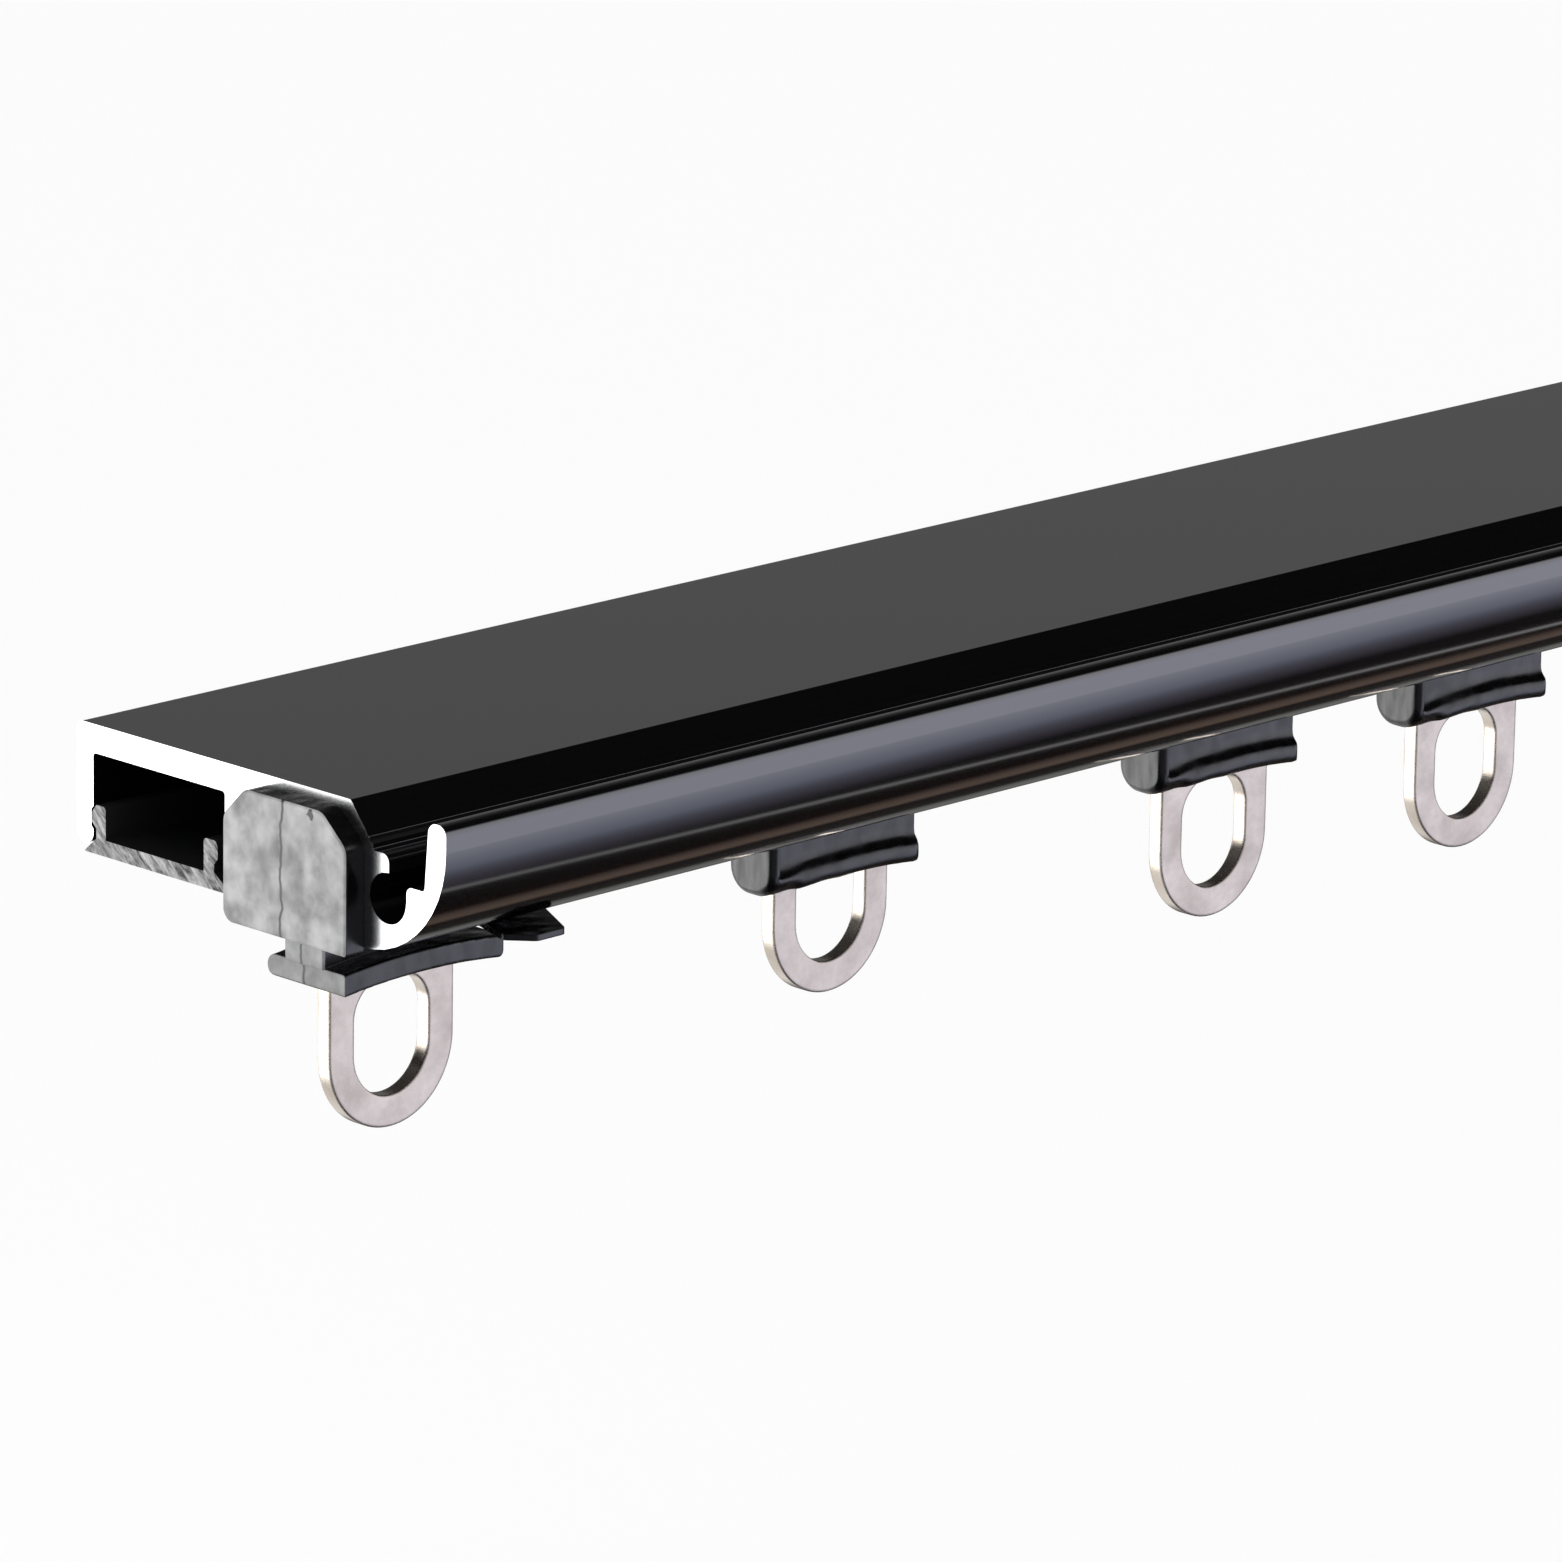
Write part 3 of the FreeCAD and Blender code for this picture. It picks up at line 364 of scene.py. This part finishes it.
def stamped_steel():
    """Stamped steel plate, tumbled: pale and warm, finely grained, with edges that catch the light.

    The real grain is finer, and is drawn as coarse as it needs to show.
    """
    material, tree, output, place = new_material("stamped_steel")
    in_grain = add(
        tree, "ShaderNodeMapping", {"Vector": place, "Scale": mm(0.7, 0.7, 0.7)}, vector_type="TEXTURE",
    )
    grain = add(
        tree, "ShaderNodeTexNoise",
        {"Vector": in_grain.outputs[0], "Scale": 1.0, "Detail": 6.0, "Roughness": 0.7},
    ).outputs[0]
    in_shades = add(
        tree, "ShaderNodeMapping", {"Vector": place, "Scale": mm(4, 4, 4)}, vector_type="TEXTURE",
    )
    shades = add(
        tree, "ShaderNodeTexNoise", {"Vector": in_shades.outputs[0], "Scale": 1.0, "Detail": 3.0},
    ).outputs[0]
    spread = add(tree, "ShaderNodeMapRange", {"Value": shades, "From Min": 0.3, "From Max": 0.7}).outputs[0]
    tone = add(
        tree, "ShaderNodeMix",
        {0: spread, 6: colour("#afa59b"), 7: colour("#cdc3b8")}, data_type="RGBA",
    ).outputs[2]
    gloss = add(
        tree, "ShaderNodeMapRange",
        {"Value": grain, "From Min": 0.3, "From Max": 0.7, "To Min": 0.30, "To Max": 0.19},
    ).outputs[0]
    soft_edges = add(tree, "ShaderNodeBevel", {"Radius": 0.35 * MM}, samples=4).outputs[0]
    relief = add(
        tree, "ShaderNodeBump",
        {"Strength": 0.35, "Distance": 0.03 * MM, "Height": grain, "Normal": soft_edges},
    ).outputs[0]
    shader = add(tree, "ShaderNodeBsdfPrincipled", {
        "Base Color": tone, "Metallic": 1.0, "Roughness": gloss, "Normal": relief,
    })
    tree.links.new(shader.outputs[0], output.inputs[0])
    return material


def drawn_steel():
    """Drawn steel wire and washer stock: smooth, with the die's lines, a little darker than the eyes."""
    material, tree, output, place = new_material("drawn_steel")
    along_wire = add(
        tree, "ShaderNodeMapping", {"Vector": place, "Scale": mm(0.1, 3, 0.1)}, vector_type="TEXTURE",
    )
    lines = add(tree, "ShaderNodeTexNoise", {"Vector": along_wire.outputs[0], "Scale": 1.0, "Detail": 3.0})
    gloss = add(
        tree, "ShaderNodeMapRange", {"Value": lines.outputs[0], "To Min": 0.2, "To Max": 0.4},
    ).outputs[0]
    shader = add(tree, "ShaderNodeBsdfPrincipled", {
        "Base Color": colour("#b9b6b2"), "Metallic": 1.0, "Roughness": gloss,
    })
    tree.links.new(shader.outputs[0], output.inputs[0])
    return material


def dress_nodes():
    """Gives every piece of the frame its finish."""
    finishes = {
        "rail": coated_aluminium(),
        "strip": sawn_plastic(),
        "body": moulded_nylon(),
        "eye": stamped_steel(),
        "pin": drawn_steel(),
    }
    finishes["lever"] = finishes["body"]
    finishes["washer"] = finishes["pin"]
    for name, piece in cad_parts.items():
        finish = finishes[name.split("_")[-1]]
        piece.data.materials.clear()
        piece.data.materials.append(finish)


# Gliders' feet

GLIDER_BODY = "_body"          # how the names of the gliders' moulded bodies end
MERGE_REACH = 0.001 * MM       # corners of loose triangles this close are one
GRID = 0.22 * MM               # side of the fine grid that a moulded body is built on again
EVEN_ROUNDS = 4                # of smoothing all over, which takes the grid's steps away
BLEND_ROUNDS = 110             # of smoothing where the toe meets the arch
TOE_END = 5.9 * MM             # from a glider's rib face to where its toe meets the arch
BLEND_REACH = 3.6 * MM         # how far along the foot the two run into each other
FOOT_HEIGHT = 3.0 * MM         # the blend stays this low on the foot
POCKET_HALF = 1.25 * MM        # and stays off the walls of the eye's pocket, this near the middle
POCKET_REACH = 8.1 * MM        # half the pocket's length, with a little to spare
POCKET_ROOM = 0.3 * MM         # the grid rounds the pocket's inner corners, so it is opened by this
EDGE_ANGLE = math.radians(50)  # sharper edges than this stay sharp


def smooth(piece, rounds, group=""):
    """Draws each point towards its neighbours, everywhere or by a vertex group's weights."""
    even = piece.modifiers.new("even", "SMOOTH")
    even.factor = 0.5
    even.iterations = rounds
    even.vertex_group = group
    bpy.ops.object.modifier_apply(modifier=even.name)


def open_pocket(piece, middle):
    """Moves the walls of the eye's pocket outwards, so that the eye keeps its play."""
    pushed = []
    for point in piece.data.vertices:
        off_middle = abs(point.co.x - middle)
        if abs(point.co.y) < POCKET_HALF and off_middle < POCKET_REACH:
            pushed.append((point, point.normal * -POCKET_ROOM))
    for point, push in pushed:
        point.co += push


def mould_feet():
    """Each glider's toe runs smoothly into its arch, with soft edges all over, as it left the mould."""
    for name, node in list(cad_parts.items()):
        if not (name.startswith("glider_") and name.endswith(GLIDER_BODY)):
            continue
        piece = bpy.data.objects.new(name + "_moulded", node.data.copy())
        bpy.context.collection.objects.link(piece)
        bpy.ops.object.select_all(action="DESELECT")
        piece.select_set(True)
        bpy.context.view_layer.objects.active = piece
        bpy.ops.object.mode_set(mode="EDIT")
        bpy.ops.mesh.select_all(action="SELECT")
        bpy.ops.mesh.remove_doubles(threshold=MERGE_REACH)
        bpy.ops.object.mode_set(mode="OBJECT")

        fine = piece.modifiers.new("fine", "REMESH")
        fine.mode = "VOXEL"
        fine.voxel_size = GRID
        bpy.ops.object.modifier_apply(modifier=fine.name)
        smooth(piece, EVEN_ROUNDS)

        low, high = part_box(name)
        step = piece.vertex_groups.new(name="step")
        for point in piece.data.vertices:
            along = abs(point.co.x - (low[0] + TOE_END)) / BLEND_REACH
            up = (point.co.z - low[2]) / FOOT_HEIGHT
            if along < 1 and up < 1 and abs(point.co.y) > POCKET_HALF:
                step.add([point.index], (1 - along ** 2) * (1 - up ** 3), "REPLACE")
        open_pocket(piece, (low[0] + high[0]) / 2)
        smooth(piece, BLEND_ROUNDS, "step")
        piece.vertex_groups.clear()
        bpy.ops.object.shade_smooth_by_angle(angle=EDGE_ANGLE)

        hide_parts(name)
        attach(piece, name[:-len(GLIDER_BODY)])


# Stage

FLOOR_DROP = 0.30              # the track hangs, so the floor lies well below it


def make_floor():
    """A plain white floor far below the hanging track. Seen from below it lets the view through."""
    bpy.ops.object.select_all(action="DESELECT")
    bpy.ops.mesh.primitive_plane_add(size=40, location=(0, 0, -FLOOR_DROP))
    floor = bpy.context.object
    floor.name = "floor"
    bpy.ops.object.transform_apply(location=True, rotation=True, scale=True)
    material, tree, output, place = new_material("white_floor")
    paint = add(tree, "ShaderNodeBsdfDiffuse", {"Color": colour("#fbfbfb")})
    clear = add(tree, "ShaderNodeBsdfTransparent")
    behind = add(tree, "ShaderNodeNewGeometry").outputs["Backfacing"]
    mixed = add(tree, "ShaderNodeMixShader", {0: behind, 1: paint.outputs[0], 2: clear.outputs[0]})
    tree.links.new(mixed.outputs[0], output.inputs[0])
    floor.data.materials.append(material)
    floor.visible_glossy = False


# How bright the studio looks in the rail's gloss, by the angle round the rail's own axis:
# 0 is level and in front, 90 straight up, 180 level and behind. The pale panel in front gives
# the lip its broad band, and fades downwards to a warm and a cool strip near the floor.
PANELS = (
    (-180, "#565656"), (-150, "#3e3e3e"), (-138, "#5c5c5a"), (-129, "#565654"), (-122, "#242322"),
    (-106, "#1f1b1a"), (-103, "#63554d"), (-96, "#5e5048"), (-88, "#1c1514"), (-61, "#1d1c1c"),
    (-53, "#54515a"), (-46, "#6f6f7e"), (-41, "#888d9e"), (-34, "#b4b9cc"), (-28, "#d8dae9"),
    (-20, "#e6e8fa"), (12, "#e0e0eb"), (28, "#d4d4da"), (44, "#1c1c1d"), (58, "#080808"),
    (90, "#0c0c0c"), (130, "#3a3a3a"), (158, "#535353"), (180, "#565656"),
)
PANEL_GLOW = 1.7

# A thin lamp in front and low down, a little askew to the rail, so that its line in the lip
# sinks towards the far end.
THIN_LAMP_ANGLE = math.radians(-70.5)
THIN_LAMP_SKEW = 4.54          # radians per unit of the direction along the rail
THIN_LAMP_ALONG = 0.70
THIN_LAMP_GLOW = 0.34

# White paper behind and below the near end, about as bright in the gloss as to the eye.
BACKDROP_GLOW = 1.1

# A soft lamp beyond the near end, where the faces at that end mirror it.
NEAR_END = Vector((-0.1, 0, -0.01))
END_LIGHT_WAY = Vector((-0.69, 0.68, -0.27))
END_LIGHT_DISTANCE = 0.9
END_LIGHT_WIDTH, END_LIGHT_HEIGHT = 0.7, 0.6
END_LIGHT_GLOW = 2.4           # how bright its face looks

OVERHEAD_LIGHT = 0.9
OVERHEAD_SPREAD = math.radians(60)
OVERHEAD_TILT = (math.radians(25), math.radians(-15), 0)


def make_world():
    """White behind the object, an even soft light on it, and panels for its gloss to mirror."""
    world = bpy.data.worlds.new("studio")
    bpy.context.scene.world = world
    world.use_nodes = True
    tree = world.node_tree
    tree.nodes.clear()
    direction = add(tree, "ShaderNodeTexCoord").outputs["Generated"]
    way = add(tree, "ShaderNodeSeparateXYZ", {0: direction})
    ahead = add(tree, "ShaderNodeMath", {0: way.outputs["Y"], 1: -1.0}, operation="MULTIPLY").outputs[0]
    angle = add(tree, "ShaderNodeMath", {0: way.outputs["Z"], 1: ahead}, operation="ARCTAN2").outputs[0]
    share = add(
        tree, "ShaderNodeMapRange", {"Value": angle, "From Min": -math.pi, "From Max": math.pi},
    ).outputs[0]
    panels = add(tree, "ShaderNodeValToRGB", {0: share})
    ramp = panels.color_ramp
    while len(ramp.elements) < len(PANELS):
        ramp.elements.new(0.5)
    for stop, (degrees, code) in zip(ramp.elements, PANELS):
        stop.position = (degrees + 180) / 360
        stop.color = colour(code)
    beyond = add(
        tree, "ShaderNodeMapRange",
        {"Value": way.outputs["X"], "From Min": -0.1, "From Max": 0.45, "To Min": 0.12, "To Max": 1.0},
        interpolation_type="SMOOTHSTEP",
    ).outputs[0]
    glow = add(tree, "ShaderNodeMath", {0: beyond, 1: PANEL_GLOW}, operation="MULTIPLY").outputs[0]
    from_lamp = add(
        tree, "ShaderNodeMath",
        {0: way.outputs["X"], 1: THIN_LAMP_SKEW, 2: -THIN_LAMP_SKEW * THIN_LAMP_ALONG - THIN_LAMP_ANGLE},
        operation="MULTIPLY_ADD",
    ).outputs[0]
    off_lamp = add(tree, "ShaderNodeMath", {0: from_lamp, 1: angle}, operation="ADD").outputs[0]
    lamp_reach = add(tree, "ShaderNodeMath", {0: off_lamp}, operation="ABSOLUTE").outputs[0]
    thin_lamp = add(tree, "ShaderNodeMapRange", {
        "Value": lamp_reach, "From Min": math.radians(0.8), "From Max": math.radians(3.0),
        "To Min": THIN_LAMP_GLOW, "To Max": 0.0,
    }).outputs[0]
    studio = add(
        tree, "ShaderNodeMix", {0: 1.0, 6: panels.outputs[0], 7: thin_lamp},
        data_type="RGBA", blend_type="ADD",
    ).outputs[2]
    front = add(tree, "ShaderNodeBackground", {"Color": studio, "Strength": glow})
    behind = add(
        tree, "ShaderNodeMapRange", {"Value": way.outputs["Y"], "From Min": 0.1, "From Max": 0.5},
        interpolation_type="SMOOTHSTEP",
    ).outputs[0]
    nearer = add(
        tree, "ShaderNodeMapRange", {"Value": way.outputs["X"], "From Min": 0.55, "From Max": 0.25},
        interpolation_type="SMOOTHSTEP",
    ).outputs[0]
    lower = add(
        tree, "ShaderNodeMapRange", {"Value": way.outputs["Z"], "From Min": 0.25, "From Max": -0.05},
        interpolation_type="SMOOTHSTEP",
    ).outputs[0]
    corner = add(tree, "ShaderNodeMath", {0: behind, 1: nearer}, operation="MULTIPLY").outputs[0]
    low_corner = add(tree, "ShaderNodeMath", {0: corner, 1: lower}, operation="MULTIPLY").outputs[0]
    paper_glow = add(
        tree, "ShaderNodeMath", {0: low_corner, 1: BACKDROP_GLOW}, operation="MULTIPLY",
    ).outputs[0]
    paper = add(tree, "ShaderNodeBackground", {"Color": colour("#ffffff"), "Strength": paper_glow})
    mirrored = add(tree, "ShaderNodeAddShader", {0: front.outputs[0], 1: paper.outputs[0]})
    even = add(tree, "ShaderNodeBackground", {"Color": colour("#ffffff"), "Strength": 0.75})
    white = add(tree, "ShaderNodeBackground", {"Color": colour("#ffffff"), "Strength": 1.0})
    ray = add(tree, "ShaderNodeLightPath")
    lit = add(
        tree, "ShaderNodeMixShader",
        {0: ray.outputs["Is Glossy Ray"], 1: even.outputs[0], 2: mirrored.outputs[0]},
    )
    seen = add(
        tree, "ShaderNodeMixShader",
        {0: ray.outputs["Is Camera Ray"], 1: lit.outputs[0], 2: white.outputs[0]},
    )
    output = add(tree, "ShaderNodeOutputWorld")
    tree.links.new(seen.outputs[0], output.inputs[0])


def light_stage():
    """A broad soft sun overhead, and a bright lamp beyond the near end that its faces mirror."""
    bpy.ops.object.light_add(type="SUN", rotation=OVERHEAD_TILT)
    sun = bpy.context.object
    sun.name = "overhead_light"
    sun.data.energy = OVERHEAD_LIGHT
    sun.data.angle = OVERHEAD_SPREAD
    sun.visible_glossy = False

    away = END_LIGHT_WAY.normalized()
    bpy.ops.object.light_add(type="AREA", location=NEAR_END + away * END_LIGHT_DISTANCE)
    lamp = bpy.context.object
    lamp.name = "end_light"
    lamp.data.shape = "RECTANGLE"
    lamp.data.size, lamp.data.size_y = END_LIGHT_WIDTH, END_LIGHT_HEIGHT
    lamp.data.energy = END_LIGHT_GLOW * math.pi * END_LIGHT_WIDTH * END_LIGHT_HEIGHT
    lamp.rotation_euler = away.to_track_quat("Z", "Y").to_euler()
    lamp.visible_camera = False


place_camera()
dress_nodes()
mould_feet()
make_floor()
make_world()
light_stage()

bpy.context.scene.view_settings.view_transform = "Standard"
